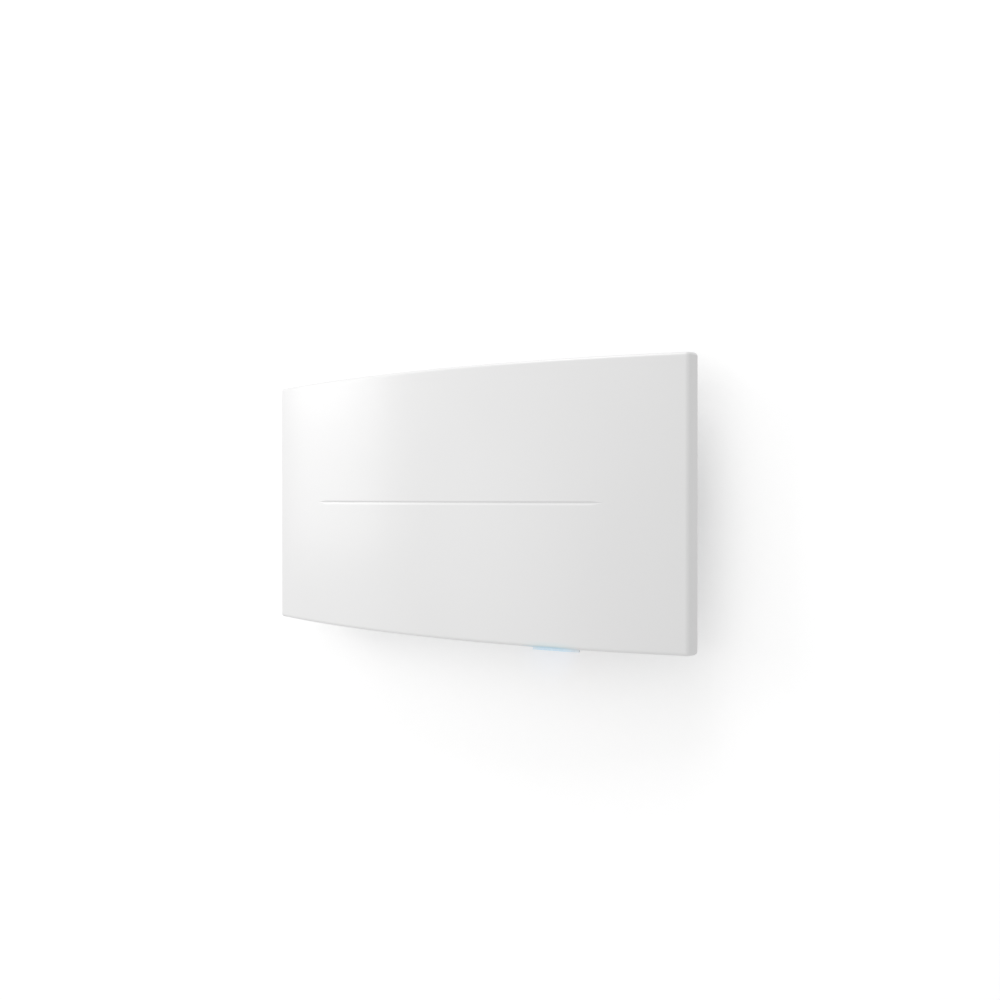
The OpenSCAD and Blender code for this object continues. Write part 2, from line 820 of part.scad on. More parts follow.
module bail(s) {
    x = s * handle_px;
    cable([[x, -87, handle_pz], [x, -106, handle_pz], [x, -106, handle_pz - bail_leg]], 4);
    cable([[x, -41, handle_pz], [x, -22, handle_pz], [x, -22, handle_pz - bail_leg]], 4);
    rod_y(x, handle_pz - bail_leg, -112, -16, 6);
}

module handle_left() { color("black") bail(-1); }
module handle_right() { color("black") bail(1); }

module cover_brackets() {
    color("silver") for (sx = [-1, 1], sz = [-1, 1]) mirror([sx < 0 ? 1 : 0, 0, 0])
        difference() {
            union() {
                block([bx, -104, sz * socket_z - 14], [bx + 46, -101.5, sz * socket_z + 14]);
                block([bx, -104, sz * socket_z - 14], [bx + 2.5, -60, sz * socket_z + 14]);
                block([bx, -101.5, sz * socket_z + 11.5], [bx + 24, -84, sz * socket_z + 14]);
            }
            rod_y(socket_x, sz * socket_z, -105, -100, 8);
        }
}

module cover_sockets() {
    color("black") for (sx = [-1, 1], sz = [-1, 1]) difference() {
        union() {
            rod_y(sx * socket_x, sz * socket_z, -106, -104, 10);
            rod_y(sx * socket_x, sz * socket_z, -104, -92, 8);
        }
        rod_y(sx * socket_x, sz * socket_z, -107, -94, 4.05);
    }
}

module status_led_holder() {
    color("dimgray") difference() {
        union() {
            block([229, -92, -228], [260, -72, box_z0]);
            block([229, -160, -228], [260, -92, -226]);
            for (x = [229, 258]) block([x, -160, -232], [x + 2, -92, -228]);
        }
        rod_z(246, -80, -229, -224, 2.2);
    }
}

module status_led_board() {
    color("seagreen") {
        block([231.2, -158, -229.6], [257.8, -140, -228]);
        for (x = [236, 244.5, 253]) block([x - 2.5, -152.5, -231], [x + 2.5, -147.5, -229.6]);
        block([237, -146, -231.5], [252, -141, -229.6]);
    }
}

front_cover();
light_pipe();
vent_grilles();
cover_pins();
bracket_hook_rail();
bracket_lower_rail();
bracket_uprights();
lock_screws();
rear_chassis();
hanging_rail();
hanging_rivets();
standoff_pads();
bay_divider();
wiring_partition();
enclosure_gasket();
enclosure_lid();
lid_screws();
wiring_cover();
wiring_cover_screws();
cells_upper();
cells_middle();
cells_lower();
thermal_pads();
module_end_plates();
module_side_plates();
module_bolts();
busbar_trays();
cell_busbars();
cell_sense_boards();
module_links();
dc_cable_positive();
dc_cable_negative();
contactors();
dc_fuse();
bms_board();
power_modules();
power_module_plugs();
module_rails();
dc_trunk_cable();
ac_trunk_cable();
trunk_grommet();
terminal_block();
ground_bar();
data_port_board();
gland_plate();
gland_plate_screws();
conduit_hub_power();
conduit_hub_data();
hub_locknuts();
pressure_vent();
dc_switch_body();
dc_switch_plate();
dc_switch_knob();
handle_mounts();
handle_left();
handle_right();
cover_brackets();
cover_sockets();
status_led_holder();
status_led_board();
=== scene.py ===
import json
import math

import bmesh
import bpy
import numpy as np
from mathutils import Matrix, Vector

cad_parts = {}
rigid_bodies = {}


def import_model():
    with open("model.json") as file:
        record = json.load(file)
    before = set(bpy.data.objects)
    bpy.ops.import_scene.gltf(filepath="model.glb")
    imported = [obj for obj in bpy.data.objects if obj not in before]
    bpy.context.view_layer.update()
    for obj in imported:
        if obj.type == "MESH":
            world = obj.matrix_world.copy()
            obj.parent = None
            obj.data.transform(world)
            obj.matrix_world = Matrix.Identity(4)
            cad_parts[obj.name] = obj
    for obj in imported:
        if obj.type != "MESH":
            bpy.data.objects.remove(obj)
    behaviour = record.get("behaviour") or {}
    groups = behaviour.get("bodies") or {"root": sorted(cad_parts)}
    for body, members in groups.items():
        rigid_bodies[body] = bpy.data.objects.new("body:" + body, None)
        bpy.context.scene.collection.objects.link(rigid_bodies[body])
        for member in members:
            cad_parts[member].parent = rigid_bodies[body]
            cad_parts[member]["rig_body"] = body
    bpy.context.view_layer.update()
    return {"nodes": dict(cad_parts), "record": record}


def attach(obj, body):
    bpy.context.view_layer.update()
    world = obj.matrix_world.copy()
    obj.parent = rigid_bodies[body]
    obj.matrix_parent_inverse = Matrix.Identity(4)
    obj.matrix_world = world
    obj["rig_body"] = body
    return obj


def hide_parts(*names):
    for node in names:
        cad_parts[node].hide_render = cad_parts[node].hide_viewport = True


for o in list(bpy.data.objects):
    bpy.data.objects.remove(o)
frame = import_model()
NODES = frame["nodes"]
SLOT = {s["node"]: s["material_slot"] for s in frame["record"]["subparts"]}
BODY = {n: o["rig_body"] for n, o in NODES.items()}


# ---------------------------------------------------------------- node helpers

def new_material(name):
    m = bpy.data.materials.new(name)
    m.use_nodes = True
    nt = m.node_tree
    b = next(n for n in nt.nodes if n.type == "BSDF_PRINCIPLED")
    return m, nt, b


def add(nt, kind, **values):
    n = nt.nodes.new(kind)
    for k, v in values.items():
        setattr(n, k, v)
    return n


def noise(nt, vector, scale, detail=4.0, rough=0.55, distortion=0.0):
    n = add(nt, "ShaderNodeTexNoise")
    n.inputs["Scale"].default_value = scale
    n.inputs["Detail"].default_value = detail
    n.inputs["Roughness"].default_value = rough
    n.inputs["Distortion"].default_value = distortion
    nt.links.new(vector, n.inputs["Vector"])
    return n.outputs["Fac"]


def remap(nt, value, lo, hi, a=0.3, b=0.7):
    n = add(nt, "ShaderNodeMapRange")
    n.inputs["From Min"].default_value = a
    n.inputs["From Max"].default_value = b
    n.inputs["To Min"].default_value = lo
    n.inputs["To Max"].default_value = hi
    nt.links.new(value, n.inputs["Value"])
    return n.outputs["Result"]


def mix_color(nt, fac, a, b):
    n = add(nt, "ShaderNodeMix", data_type="RGBA")
    if isinstance(fac, float):
        n.inputs[0].default_value = fac
    else:
        nt.links.new(fac, n.inputs[0])
    for sock, v in ((n.inputs[6], a), (n.inputs[7], b)):
        if isinstance(v, tuple):
            sock.default_value = (*v, 1.0)
        else:
            nt.links.new(v, sock)
    return n.outputs[2]


def math_node(nt, op, a, b=None, clamp=False):
    n = add(nt, "ShaderNodeMath", operation=op, use_clamp=clamp)
    for i, v in enumerate((a, b)):
        if v is None:
            continue
        if isinstance(v, (int, float)):
            n.inputs[i].default_value = v
        else:
            nt.links.new(v, n.inputs[i])
    return n.outputs[0]


def coords(nt, stretch=(1, 1, 1)):
    tc = add(nt, "ShaderNodeTexCoord")
    mp = add(nt, "ShaderNodeMapping")
    mp.inputs["Scale"].default_value = stretch
    nt.links.new(tc.outputs["Object"], mp.inputs["Vector"])
    return mp.outputs["Vector"]


def edges(nt, lo=0.52, hi=0.6):
    """1 on convex edges, 0 on flats."""
    g = add(nt, "ShaderNodeNewGeometry")
    return remap(nt, g.outputs["Pointiness"], 0.0, 1.0, lo, hi)


def bump(nt, b, height, strength, distance, normal=None):
    n = add(nt, "ShaderNodeBump")
    n.inputs["Strength"].default_value = strength
    n.inputs["Distance"].default_value = distance
    nt.links.new(height, n.inputs["Height"])
    if normal is not None:
        nt.links.new(normal, n.inputs["Normal"])
    nt.links.new(n.outputs["Normal"], b.inputs["Normal"])
    return n.outputs["Normal"]


def shade(c, k):
    return tuple(min(1.0, v * k) for v in c)


def plastic(name, color, rough=0.45, spread=0.08, grain=900.0, grain_h=0.00004, tone=0.05, coat=0.0, wear=0.12):
    """Moulded plastic: a fine grain, slightly uneven gloss, paler rubbed edges."""
    m, nt, b = new_material(name)
    v = coords(nt)
    big = noise(nt, v, 6.0, 3.0)
    fine = noise(nt, v, grain, 2.0, 0.5)
    mid = noise(nt, v, 70.0, 4.0)
    base = mix_color(nt, remap(nt, big, 0.0, 1.0), shade(color, 1 - tone), shade(color, 1 + tone * 0.6))
    base = mix_color(nt, math_node(nt, "MULTIPLY", edges(nt), wear), base, shade(color, 1.35))
    nt.links.new(base, b.inputs["Base Color"])
    nt.links.new(remap(nt, mid, rough - spread, rough + spread), b.inputs["Roughness"])
    b.inputs["Coat Weight"].default_value = coat
    b.inputs["Coat Roughness"].default_value = 0.12
    bump(nt, b, fine, 0.35, grain_h * 10)
    return m


def powder(name, color, rough=0.42, peel=0.25, wear=0.25, bare=(0.55, 0.56, 0.57)):
    """Powder-coated steel: orange-peel skin, faint colour drift, bare metal on worn edges."""
    m, nt, b = new_material(name)
    v = coords(nt)
    big = noise(nt, v, 4.0, 3.0)
    skin = noise(nt, v, 420.0, 3.0, 0.6)
    patch = noise(nt, v, 55.0, 5.0, 0.65)
    base = mix_color(nt, remap(nt, big, 0.0, 1.0), shade(color, 0.95), shade(color, 1.03))
    worn = math_node(nt, "MULTIPLY", edges(nt, 0.54, 0.64), remap(nt, patch, 0.0, wear, 0.5, 0.75), clamp=True)
    base = mix_color(nt, worn, base, bare)
    nt.links.new(base, b.inputs["Base Color"])
    nt.links.new(math_node(nt, "MULTIPLY", worn, 0.6), b.inputs["Metallic"])
    nt.links.new(remap(nt, patch, rough - 0.07, rough + 0.07), b.inputs["Roughness"])
    bump(nt, b, skin, peel, 0.0004)
    return m


def metal(name, color, rough=0.34, brush=(3, 3, 260), spread=0.1, stain=0.1, tint=(0.5, 0.5, 0.48)):
    """Rolled or plated metal: fine drawn lines, cloudy gloss and a little staining."""
    m, nt, b = new_material(name)
    v = coords(nt)
    lines = noise(nt, coords(nt, brush), 4.0, 5.0, 0.7)
    cloud = noise(nt, v, 18.0, 5.0, 0.6)
    base = mix_color(nt, remap(nt, lines, 0.0, 1.0), shade(color, 0.93), shade(color, 1.04))
    base = mix_color(nt, math_node(nt, "MULTIPLY", remap(nt, cloud, 0.0, 1.0, 0.5, 0.8), stain), base, tint)
    base = mix_color(nt, math_node(nt, "MULTIPLY", edges(nt), 0.35), base, shade(color, 1.25))
    nt.links.new(base, b.inputs["Base Color"])
    b.inputs["Metallic"].default_value = 1.0
    nt.links.new(remap(nt, cloud, rough - spread, rough + spread), b.inputs["Roughness"])
    bump(nt, b, lines, 0.12, 0.0002)
    return m


def board(name, color=(0.045, 0.22, 0.11)):
    """Circuit board: solder mask over traces, with pale pads and dark packages by height."""
    m, nt, b = new_material(name)
    v = coords(nt)
    br = add(nt, "ShaderNodeTexBrick")
    br.inputs["Scale"].default_value = 60.0
    br.inputs["Mortar Size"].default_value = 0.018
    br.inputs["Brick Width"].default_value = 0.8
    br.inputs["Row Height"].default_value = 0.3
    br.inputs["Color1"].default_value = (*color, 1)
    br.inputs["Color2"].default_value = (*shade(color, 1.35), 1)
    br.inputs["Mortar"].default_value = (*shade(color, 2.0), 1)
    sw = add(nt, "ShaderNodeMapping")
    sw.inputs["Rotation"].default_value = (math.radians(90), 0, 0)
    nt.links.new(v, sw.inputs["Vector"])
    nt.links.new(sw.outputs["Vector"], br.inputs["Vector"])
    vor = add(nt, "ShaderNodeTexVoronoi")
    vor.inputs["Scale"].default_value = 190.0
    nt.links.new(v, vor.inputs["Vector"])
    pads = remap(nt, vor.outputs["Distance"], 1.0, 0.0, 0.10, 0.16)
    keep = remap(nt, noise(nt, v, 30.0, 2.0), 0.0, 1.0, 0.5, 0.6)
    base = mix_color(nt, math_node(nt, "MULTIPLY", pads, keep), br.outputs["Color"], (0.62, 0.58, 0.42))
    # what stands proud of a board's face is a dark package with paler worn corners
    sep = add(nt, "ShaderNodeSeparateXYZ")
    nt.links.new(v, sep.inputs[0])
    right = remap(nt, sep.outputs["X"], 0.0, 1.0, -0.002, -0.001)
    lamp = remap(nt, sep.outputs["X"], 0.0, 1.0, 0.200, 0.201)
    port = remap(nt, sep.outputs["X"], 0.0, 1.0, 0.300, 0.301)
    face = math_node(nt, "MULTIPLY_ADD", right, 0.0576)
    face.node.inputs[2].default_value = -0.1047
    face2 = math_node(nt, "MULTIPLY_ADD", port, 0.013)
    nt.links.new(face, face2.node.inputs[2])
    proud = remap(nt, math_node(nt, "SUBTRACT", face2, sep.outputs["Y"]), 0.0, 1.0, 0.0, 0.00005)
    under = remap(nt, sep.outputs["Z"], 1.0, 0.0, -0.22975, -0.2297)
    here = math_node(nt, "SUBTRACT", lamp, port)
    proud = math_node(nt, "MULTIPLY", proud, math_node(nt, "SUBTRACT", 1.0, here), clamp=True)
    proud = math_node(nt, "ADD", proud, math_node(nt, "MULTIPLY", under, here), clamp=True)
    cast = noise(nt, v, 260.0, 3.0)
    package = mix_color(nt, remap(nt, cast, 0.0, 1.0), (0.018, 0.018, 0.020), (0.034, 0.034, 0.037))
    package = mix_color(nt, math_node(nt, "MULTIPLY", edges(nt), 0.3), package, (0.12, 0.12, 0.125))
    base = mix_color(nt, proud, base, package)
    nt.links.new(base, b.inputs["Base Color"])
    nt.links.new(remap(nt, noise(nt, v, 90.0), 0.28, 0.45), b.inputs["Roughness"])
    b.inputs["Coat Weight"].default_value = 0.3
    bump(nt, b, br.outputs["Fac"], 0.15, 0.0003)
    return m


def rubber(name, color, rough=0.62, dust=0.12):
    m, nt, b = new_material(name)
    v = coords(nt)
    fine = noise(nt, v, 650.0, 3.0)
    cloud = noise(nt, v, 22.0, 5.0, 0.7)
    base = mix_color(nt, math_node(nt, "MULTIPLY", remap(nt, cloud, 0.0, 1.0, 0.45, 0.8), dust), color, (0.42, 0.40, 0.38))
    base = mix_color(nt, math_node(nt, "MULTIPLY", edges(nt), 0.2), base, shade(color, 2.0))
    nt.links.new(base, b.inputs["Base Color"])
    nt.links.new(remap(nt, cloud, rough - 0.1, rough + 0.1), b.inputs["Roughness"])
    bump(nt, b, fine, 0.3, 0.0003)
    return m


def glossy_white(name):
    """The cover: glossy white moulding with a very slight orange peel, and a painted blue glow in its colour above
    the status light.
    """
    m, nt, b = new_material(name)
    v = coords(nt)
    big = noise(nt, v, 2.2, 2.0)
    peel = noise(nt, v, 150.0, 2.0, 0.5)
    fine = noise(nt, v, 800.0, 2.0)
    base = mix_color(nt, remap(nt, big, 0.0, 1.0), (0.865, 0.8635, 0.863), (0.881, 0.8795, 0.879))
    base = mix_color(nt, math_node(nt, "MULTIPLY", edges(nt), 0.15), base, (0.936, 0.935, 0.935))
    # painted glow: a blue tint painted into the cover's base colour above the status light's lens, strongest just
    # above its edge, standing in for the lamp's light on the skin
    sep = add(nt, "ShaderNodeSeparateXYZ")
    nt.links.new(v, sep.inputs[0])
    along = math_node(nt, "ABSOLUTE", math_node(nt, "SUBTRACT", sep.outputs["X"], 0.237), 0.0)
    along = remap(nt, along, 1.0, 0.0, 0.014, 0.058)
    arm = add(nt, "ShaderNodeVectorMath", operation="MULTIPLY_ADD")
    nt.links.new(v, arm.inputs[0])
    arm.inputs[1].default_value = (1, 1, 0)
    arm.inputs[2].default_value = (0, -AXIS_Y, 0)
    far = add(nt, "ShaderNodeVectorMath", operation="LENGTH")
    nt.links.new(arm.outputs["Vector"], far.inputs[0])
    along = math_node(nt, "MULTIPLY", along, remap(nt, far.outputs["Value"], 0.0, 1.0, R - 0.0075, R - 0.0055))
    near = remap(nt, sep.outputs["Z"], 1.0, 0.0, -0.268, -0.256)
    edge = remap(nt, sep.outputs["Z"], 1.0, 0.0, -0.2697, -0.2655)
    base = mix_color(nt, math_node(nt, "MULTIPLY", along, near), base, (0.78, 0.88, 0.90))
    base = mix_color(nt, math_node(nt, "MULTIPLY", along, edge), base, (0.54, 0.79, 0.93))
    nt.links.new(base, b.inputs["Base Color"])
    nt.links.new(remap(nt, noise(nt, v, 9.0, 4.0), COVER_ROUGH - 0.03, COVER_ROUGH + 0.03), b.inputs["Roughness"])
    b.inputs["Specular IOR Level"].default_value = 0.5
    b.inputs["Coat Weight"].default_value = 0.25
    b.inputs["Coat Roughness"].default_value = 0.18
    height = math_node(nt, "ADD", peel, math_node(nt, "MULTIPLY", fine, 0.15))
    bump(nt, b, height, 0.05, 0.00015)
    return m


def lit_plastic(name, color, strength):
    m, nt, b = new_material(name)
    v = coords(nt)
    n = noise(nt, v, 120.0, 3.0)
    # brightest over the lamps, fading to both ends: the emission, and a blue tint painted into the base colour
    # there as painted glow, turning grey towards the ends
    sep = add(nt, "ShaderNodeSeparateXYZ")
    nt.links.new(v, sep.inputs[0])
    along = math_node(nt, "ABSOLUTE", math_node(nt, "SUBTRACT", sep.outputs["X"], 0.241), 0.0)
    base = mix_color(nt, remap(nt, n, 0.0, 1.0), shade(color, 0.94), color)
    base = mix_color(nt, remap(nt, along, 0.0, 0.8, 0.022, 0.050), base, (0.84, 0.85, 0.855))
    nt.links.new(base, b.inputs["Base Color"])
    nt.links.new(remap(nt, n, 0.22, 0.32), b.inputs["Roughness"])
    b.inputs["Emission Color"].default_value = (0.55, 0.78, 1.0, 1.0)
    nt.links.new(remap(nt, along, strength, strength * 0.35, 0.022, 0.050), b.inputs["Emission Strength"])
    bump(nt, b, noise(nt, v, 500.0, 2.0), 0.1, 0.0002)
    return m


# the cover's form
HW, HH = 0.490, 0.275
BOW, DEPTH, RIM, SKIN = 0.068, 0.18789, 0.040, 0.003
FLARE, EDGE, CORNER = 0.0055, 0.007, 0.008
R = (HW * HW + BOW * BOW) / (2 * BOW)
AXIS_Y = R - DEPTH
RIM_Y = -(DEPTH - BOW - RIM)
FLARE_D = RIM - 0.002
TILT = math.atan(FLARE / FLARE_D)
# how far the centre of the edge rounding lies inside the back outline
EDGE_IN = FLARE - EDGE * math.tan(TILT) + EDGE / math.cos(TILT)

COVER_ROUGH = 0.33
MATERIALS = {
    "cover_plastic": glossy_white("cover_plastic"),
    "light_plastic": lit_plastic("light_plastic", (0.66, 0.79, 0.87), 0.17),
    "grille_plastic": plastic("grille_plastic", (0.80, 0.81, 0.815), 0.5),
    "pin_plastic": plastic("pin_plastic", (0.04, 0.04, 0.043), 0.5),
    "bracket_steel": powder("bracket_steel", (0.52, 0.53, 0.54), 0.45),
    "box_steel": powder("box_steel", (0.66, 0.67, 0.68), 0.4),
    "zinc_steel": metal("zinc_steel", (0.66, 0.67, 0.66), 0.36),
    "inner_steel": metal("inner_steel", (0.56, 0.57, 0.57), 0.42, (40, 40, 40), 0.12, 0.25),
    "gasket_rubber": rubber("gasket_rubber", (0.025, 0.025, 0.025), 0.75),
    "black_rubber": rubber("black_rubber", (0.03, 0.03, 0.03), 0.6),
    "cell_can": plastic("cell_can", (0.045, 0.14, 0.42), 0.3, 0.08, 500.0, 0.00003, 0.08, 0.4, 0.5),
    "thermal_pad": rubber("thermal_pad", (0.62, 0.40, 0.46), 0.8, 0.3),
    "aluminium_plate": metal("aluminium_plate", (0.78, 0.79, 0.80), 0.3, (260, 3, 3)),
    "tray_plastic": plastic("tray_plastic", (0.72, 0.20, 0.03), 0.48),
    "busbar_aluminium": metal("busbar_aluminium", (0.82, 0.83, 0.84), 0.22, (3, 260, 3)),
    "circuit_board": board("circuit_board"),
    "link_sleeve": plastic("link_sleeve", (0.80, 0.16, 0.02), 0.4),
    "cable_orange": rubber("cable_orange", (0.82, 0.20, 0.02), 0.45, 0.05),
    "cable_black": rubber("cable_black", (0.022, 0.022, 0.024), 0.45, 0.06),
    "cable_grey": rubber("cable_grey", (0.12, 0.125, 0.13), 0.5, 0.05),
    "device_plastic": plastic("device_plastic", (0.035, 0.037, 0.04), 0.46),
    "fuse_ceramic": plastic("fuse_ceramic", (0.70, 0.66, 0.56), 0.35),
    "heatsink": metal("heatsink", (0.36, 0.37, 0.39), 0.45, (3, 3, 120)),
    "terminal_plastic": plastic("terminal_plastic", (0.58, 0.58, 0.52), 0.5),
    "brass_bar": metal("brass_bar", (0.76, 0.55, 0.22), 0.3, (120, 3, 3), 0.1, 0.3, (0.35, 0.2, 0.08)),
    "hub_zinc": metal("hub_zinc", (0.58, 0.59, 0.60), 0.5, (90, 90, 90), 0.1, 0.2),
    "plate_yellow": powder("plate_yellow", (0.78, 0.50, 0.02), 0.4),
    "knob_red": plastic("knob_red", (0.55, 0.018, 0.015), 0.4, 0.08, 900.0, 0.00004, 0.06, 0.2),
    "handle_black": powder("handle_black", (0.022, 0.022, 0.024), 0.5),
}
for name, o in NODES.items():
    mat = MATERIALS[SLOT[name]]
    o.data.materials.clear()
    o.data.materials.append(mat)


# ---------------------------------------------------------------- mesh helpers

def make_object(name, bm, body, slot, smooth=40.0):
    me = bpy.data.meshes.new(name)
    bm.normal_update()
    bm.to_mesh(me)
    bm.free()
    o = bpy.data.objects.new(name, me)
    bpy.context.scene.collection.objects.link(o)
    me.materials.append(MATERIALS[slot])
    me.polygons.foreach_set("use_smooth", [True] * len(me.polygons))
    me.set_sharp_from_angle(angle=math.radians(smooth))
    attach(o, body)
    return o


def rounded_outline(w, h, r, n):
    """Counter-clockwise rounded rectangle, half sizes w and h."""
    pts = []
    for k, (sx, sz) in enumerate(((1, 1), (-1, 1), (-1, -1), (1, -1))):
        for i in range(n + 1):
            a = math.radians(90 * k + 90 * i / n)
            pts.append((sx * (w - r) + r * math.cos(a), sz * (h - r) + r * math.sin(a)))
    return pts


def refine(node, width=0.0006, angle=35.0, segments=2, clamp=False):
    """A copy of a CAD node with its sharp edges rounded."""
    src = NODES[node]
    bm = bmesh.new()
    bm.from_mesh(src.data)
    bmesh.ops.remove_doubles(bm, verts=bm.verts, dist=1e-6)
    me = bpy.data.meshes.new(node + "_fine")
    bm.to_mesh(me)
    bm.free()
    o = bpy.data.objects.new(node + "_fine", me)
    bpy.context.scene.collection.objects.link(o)
    me.materials.clear()
    me.materials.append(MATERIALS[SLOT[node]])
    me.polygons.foreach_set("use_smooth", [True] * len(me.polygons))
    mod = o.modifiers.new("edge", "BEVEL")
    mod.width = width
    mod.segments = segments
    mod.limit_method = "ANGLE"
    mod.angle_limit = math.radians(angle)
    mod.use_clamp_overlap = clamp
    mod.loop_slide = False
    even = o.modifiers.new("normals", "WEIGHTED_NORMAL")
    even.mode = "FACE_AREA"
    even.weight = 70
    even.keep_sharp = False
    dg = bpy.context.evaluated_depsgraph_get()
    ev = o.evaluated_get(dg)
    out = bpy.data.meshes.new_from_object(ev)
    o.modifiers.clear()
    o.data = out
    # rounding never reaches outside the piece
    span = [[min(v.co[i] for v in src.data.vertices), max(v.co[i] for v in src.data.vertices)] for i in range(3)]
    for v in out.vertices:
        for i in range(3):
            v.co[i] = min(max(v.co[i], span[i][0]), span[i][1])
    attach(o, BODY[node])
    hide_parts(node)
    return o


# ---------------------------------------------------------------- the cover

CREASE_Z, CREASE_HALF, CREASE_DEEP = 0.002, 0.340, 0.0018


def skin_y(x, inset=0.0):
    return AXIS_Y - math.sqrt((R - inset) ** 2 - x * x)


def crease_depth(x):
    """The groove's depth: even along its length, with a short run-out at both ends."""
    t = min(1.0, max(0.0, (CREASE_HALF - abs(x)) / 0.027))
    return CREASE_DEEP * t * t * (3 - 2 * t)


UP, DOWN = 1.65, 2.6


def flank(t):
    if t >= 0:
        return max(0.0, 1 - t / UP)
    return max(0.0, 1 + t / DOWN)


def groove(t):
    """The V, with its lips and its foot rounded."""
    w = 0.2
    return sum(flank(t + w * (i / 4 - 1)) * (1 if 0 < i < 8 else 0.5) for i in range(9)) / 8


STATIONS = [2.3, 1.95, 1.8, 1.65, 1.45, 1.05, 0.6, 0.26, 0.1, 0.0, -0.1, -0.24, -0.5, -0.95, -1.45, -1.95, -2.3, -2.53, -2.72, -2.95, -3.5]
N_CORNER = 10


def cover_rows(inset, crease):
    """z of each grid row as a function of x, bottom to top."""
    top = HH - EDGE_IN - 0.002
    def rows(x):
        d = max(crease_depth(x), 0.0006)
        mid = [CREASE_Z + t * d for t in reversed(STATIONS)]
        lo = [-top + (mid[0] + 0.0 + top) * (i / 15) ** 0.9 for i in range(15)]
        hi = [mid[-1] + (top - mid[-1]) * (1 - (1 - (i + 1) / 15) ** 0.9) for i in range(15)]
        return lo + mid + hi
    return rows


def cover_columns():
    half = HW - EDGE_IN - 0.002
    n = 118
    even = [-half + 2 * half * i / n for i in range(n + 1)]
    # closer together where the crease runs out
    ends = [s * (0.3085 + 0.0027 * k) for k in range(13) for s in (-1, 1)]
    return sorted([x for x in even if not 0.304 < abs(x) < 0.3455] + ends)


def cover_skin(bm, inset, crease):
    """Front face and edge rounding of the outer (inset 0) or inner surface; returns the ring at the walls."""
    e = EDGE - inset
    xs = cover_columns()
    rows = cover_rows(inset, crease)
    grid = []
    for x in xs:
        d = crease_depth(x) if crease else 0.0
        col = []
        for z in rows(x):
            y = skin_y(x, inset)
            if crease:
                y += d * groove((z - CREASE_Z) / max(d, 0.0006)) if d > 0 else 0.0
            else:
                # the thicker band behind the crease
                band = min(1.0, max(0.0, (CREASE_HALF + 0.03 - abs(x)) / 0.02)) * min(1.0, max(0.0, (0.013 - abs(z - CREASE_Z + 0.001)) / 0.002))
                y += 0.0038 * band
            col.append(bm.verts.new((x, y, z)))
        grid.append(col)
    nx, nz = len(grid), len(grid[0])
    flip = bool(inset)

    def face(*vs):
        vs = [v for i, v in enumerate(vs) if v is not vs[i - 1]]
        if len(vs) >= 3:
            bm.faces.new(list(reversed(vs)) if flip else vs)

    for i in range(nx - 1):
        for j in range(nz - 1):
            face(grid[i][j], grid[i + 1][j], grid[i + 1][j + 1], grid[i][j + 1])
    # the ring that surrounds the grid, counter-clockwise seen from the front
    inner = []
    for i in range(nx - 1):
        inner.append((grid[i][0], xs[i], -1, "b"))
    inner += [(grid[nx - 1][0], xs[-1], None, ("c", 1, -1, k)) for k in range(N_CORNER + 1)][:N_CORNER + 1]
    for j in range(1, nz - 1):
        inner.append((grid[nx - 1][j], None, j, "r"))
    inner += [(grid[nx - 1][nz - 1], None, None, ("c", 1, 1, k)) for k in range(N_CORNER + 1)]
    for i in range(nx - 2, 0, -1):
        inner.append((grid[i][nz - 1], xs[i], 1, "t"))
    inner += [(grid[0][nz - 1], None, None, ("c", -1, 1, k)) for k in range(N_CORNER + 1)]
    for j in range(nz - 2, 0, -1):
        inner.append((grid[0][j], None, j, "l"))
    corner = [(grid[0][0], None, None, ("c", -1, -1, k)) for k in range(N_CORNER + 1)]
    ring0 = corner + inner[1:]

    def place(item, s):
        """(x, z) of a ring point whose outline is inset by s."""
        v, x, j, tag = item
        if tag == "b":
            return x, -(HH - s)
        if tag == "t":
            return x, HH - s
        if tag == "r":
            return HW - s, v.co.z
        if tag == "l":
            return -(HW - s), v.co.z
        _, sx, sz, k = tag
        start = {(-1, -1): 180, (1, -1): 270, (1, 1): 0, (-1, 1): 90}[(sx, sz)]
        a = math.radians(start + 90 * k / N_CORNER)
        r = CORNER * (1 - 0.9 * min(s / EDGE_IN, 1.0))
        return sx * (HW - s - r) + r * math.cos(a), sz * (HH - s - r) + r * math.sin(a)

    rings = [[item[0] for item in ring0]]
    # (inset of the outline, how far behind the skin)
    levels = [(EDGE_IN + 0.001, 0.0)]
    steps = 9 if not inset else 6
    for k in range(steps + 1):
        a = (math.pi / 2 - TILT) * k / steps
        levels.append((EDGE_IN - e * math.sin(a), e * (1 - math.cos(a))))
    knee = FLARE_D + inset * (1 / math.cos(TILT) - 1) / math.tan(TILT) - inset
    s0, d0 = levels[-1]
    levels += [(s0 + (inset - s0) * f, d0 + (knee - d0) * f) for f in (0.03, 0.35, 0.7, 0.97, 1.0)]
    for s, d in levels:
        ring = []
        for item in ring0:
            x, z = place(item, s)
            y = skin_y(min(max(x, -HW), HW), inset) + d
            ring.append(bm.verts.new((x, min(y, RIM_Y - 0.0012), z)))
        prev = rings[-1]
        n = len(ring)
        for k in range(n):
            k2 = (k + 1) % n
            face(prev[k], ring[k], ring[k2], prev[k2])
        rings.append(ring)
    base = ring0
    return base, place, rings[-1], face


def walls(bm, base, place, ring, face, depths):
    """More rings behind the edge rounding: (inset, y) each."""
    for s, y in depths:
        nxt = []
        for item, v in zip(base, ring):
            x, z = place(item, s)
            nxt.append(bm.verts.new((x, y if y is not None else v.co.y, z)))
        n = len(nxt)
        for k in range(n):
            k2 = (k + 1) % n
            face(ring[k], nxt[k], nxt[k2], ring[k2])
        ring = nxt
    return ring


